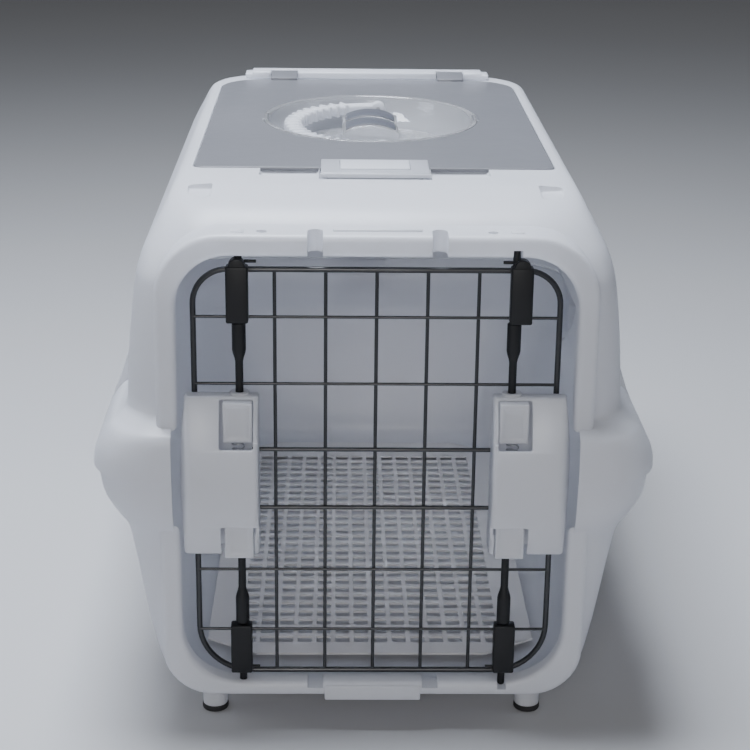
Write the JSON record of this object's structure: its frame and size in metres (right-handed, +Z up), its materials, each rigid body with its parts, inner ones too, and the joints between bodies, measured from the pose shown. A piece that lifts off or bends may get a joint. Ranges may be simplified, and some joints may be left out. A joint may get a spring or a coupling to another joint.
{
  "type": "pet transport carrier",
  "caption": "Hard plastic pet transport carrier with a wire front door, a hinged translucent roof door, a folding carry handle, side clips and a slotted floor mat.",
  "frame": {"origin": "on the ground under the middle of the whole carrier's box", "axes": "+Z up, +Y towards the back, +X to the viewer's right when facing the front door, which looks along -Y"},
  "size_m": [0.4056, 0.6032, 0.392],
  "materials": {
    "shell_white": "moulded polypropylene, fine satin grain",
    "mat_white": "moulded polypropylene, matt",
    "rubber_black": "matt rubber",
    "smoke_grey": "frosted translucent grey plastic",
    "clear_plastic": "clear polished plastic",
    "band_grey": "smooth dark grey plastic",
    "coated_wire": "satin black coated steel wire",
    "black_plastic": "satin black moulded plastic",
    "steel": "bright steel"
  },
  "bodies": {
    "carrier": {"lower_shell": "shell_white", "upper_shell": "shell_white", "floor_mat": "mat_white", "foot_pad_1": "rubber_black", "foot_pad_2": "rubber_black", "foot_pad_3": "rubber_black", "foot_pad_4": "rubber_black", "clip_pin_left_front": "steel", "clip_pin_left_rear": "steel", "clip_pin_right_front": "steel", "clip_pin_right_rear": "steel", "clip_pin_back": "steel", "hinge_cover": "shell_white", "roof_hinge_pin_left": "steel", "roof_hinge_pin_right": "steel"},
    "door": {"door_grille": "coated_wire", "lock_cover_left": "shell_white", "lock_cover_right": "shell_white", "lock_back_left": "shell_white", "lock_back_right": "shell_white", "lock_screw_left_1": "steel", "lock_screw_left_2": "steel", "lock_screw_right_1": "steel", "lock_screw_right_2": "steel", "rod_guide_left_upper": "black_plastic", "rod_guide_left_lower": "black_plastic", "rod_guide_right_upper": "black_plastic", "rod_guide_right_lower": "black_plastic", "bolt_spring_left_upper": "steel", "bolt_spring_left_lower": "steel", "bolt_spring_right_upper": "steel", "bolt_spring_right_lower": "steel"},
    "roof_door": {"roof_panel": "smoke_grey", "roof_dish": "clear_plastic", "dish_saddle": "clear_plastic", "saddle_band_1": "band_grey", "saddle_band_2": "band_grey", "handle_pin_front": "steel", "handle_pin_rear": "steel"},
    "carry_handle": {"handle": "shell_white"},
    "latch_slider": {"roof_latch": "smoke_grey", "latch_insert": "shell_white"},
    "bolt_left_upper": {"lock_rod_left_upper": "black_plastic", "knob_left_upper": "shell_white"},
    "bolt_left_lower": {"lock_rod_left_lower": "black_plastic", "knob_left_lower": "shell_white"},
    "bolt_right_upper": {"lock_rod_right_upper": "black_plastic", "knob_right_upper": "shell_white"},
    "bolt_right_lower": {"lock_rod_right_lower": "black_plastic", "knob_right_lower": "shell_white"},
    "front_left_clip": {"clip_left_front": "shell_white"},
    "rear_left_clip": {"clip_left_rear": "shell_white"},
    "front_right_clip": {"clip_right_front": "shell_white"},
    "rear_right_clip": {"clip_right_rear": "shell_white"},
    "back_clip": {"clip_back": "shell_white"}
  },
  "joints": [
    {"name": "door_swing", "type": "hinge", "parent": "carrier", "child": "door", "pos_m": [-0.093, -0.27815, 0.0385], "axis": [0, 0, -1], "range_deg": [0, 110]},
    {"name": "roof_door_lift", "type": "hinge", "parent": "carrier", "child": "roof_door", "pos_m": [0, 0.23335, 0.3887], "axis": [-1, 0, 0], "range_deg": [0, 105]},
    {"name": "handle_lift", "type": "hinge", "parent": "roof_door", "child": "carry_handle", "pos_m": [0.008, 0.03935, 0.3775], "axis": [0, 1, 0], "range_deg": [0, 90]},
    {"name": "roof_latch_slide", "type": "slide", "parent": "roof_door", "child": "latch_slider", "axis": [0, 1, 0], "range_m": [0, 0.008], "stiffness_N_per_m": 300, "springref_m": -0.004},
    {"name": "knob_left_upper_slide", "type": "slide", "parent": "door", "child": "bolt_left_upper", "axis": [0, 0, -1], "range_m": [0, 0.009], "stiffness_N_per_m": 200, "springref_m": -0.01, "deforming": ["bolt_spring_left_upper"]},
    {"name": "knob_left_lower_slide", "type": "slide", "parent": "door", "child": "bolt_left_lower", "axis": [0, 0, 1], "range_m": [0, 0.009], "stiffness_N_per_m": 200, "springref_m": -0.01, "deforming": ["bolt_spring_left_lower"]},
    {"name": "knob_right_upper_slide", "type": "slide", "parent": "door", "child": "bolt_right_upper", "axis": [0, 0, -1], "range_m": [0, 0.009], "stiffness_N_per_m": 200, "springref_m": -0.01, "deforming": ["bolt_spring_right_upper"]},
    {"name": "knob_right_lower_slide", "type": "slide", "parent": "door", "child": "bolt_right_lower", "axis": [0, 0, 1], "range_m": [0, 0.009], "stiffness_N_per_m": 200, "springref_m": -0.01, "deforming": ["bolt_spring_right_lower"]},
    {"name": "front_left_clip_swing", "type": "hinge", "parent": "carrier", "child": "front_left_clip", "pos_m": [-0.1935, -0.15865, 0.1605], "axis": [0, -1, 0], "range_deg": [0, 100]},
    {"name": "rear_left_clip_swing", "type": "hinge", "parent": "carrier", "child": "rear_left_clip", "pos_m": [-0.1935, 0.15135, 0.1605], "axis": [0, -1, 0], "range_deg": [0, 100]},
    {"name": "front_right_clip_swing", "type": "hinge", "parent": "carrier", "child": "front_right_clip", "pos_m": [0.1935, -0.15865, 0.1605], "axis": [0, 1, 0], "range_deg": [0, 100]},
    {"name": "rear_right_clip_swing", "type": "hinge", "parent": "carrier", "child": "rear_right_clip", "pos_m": [0.1935, 0.15135, 0.1605], "axis": [0, 1, 0], "range_deg": [0, 100]},
    {"name": "back_clip_swing", "type": "hinge", "parent": "carrier", "child": "back_clip", "pos_m": [0, 0.29235, 0.1605], "axis": [-1, 0, 0], "range_deg": [0, 100]}
  ]
}
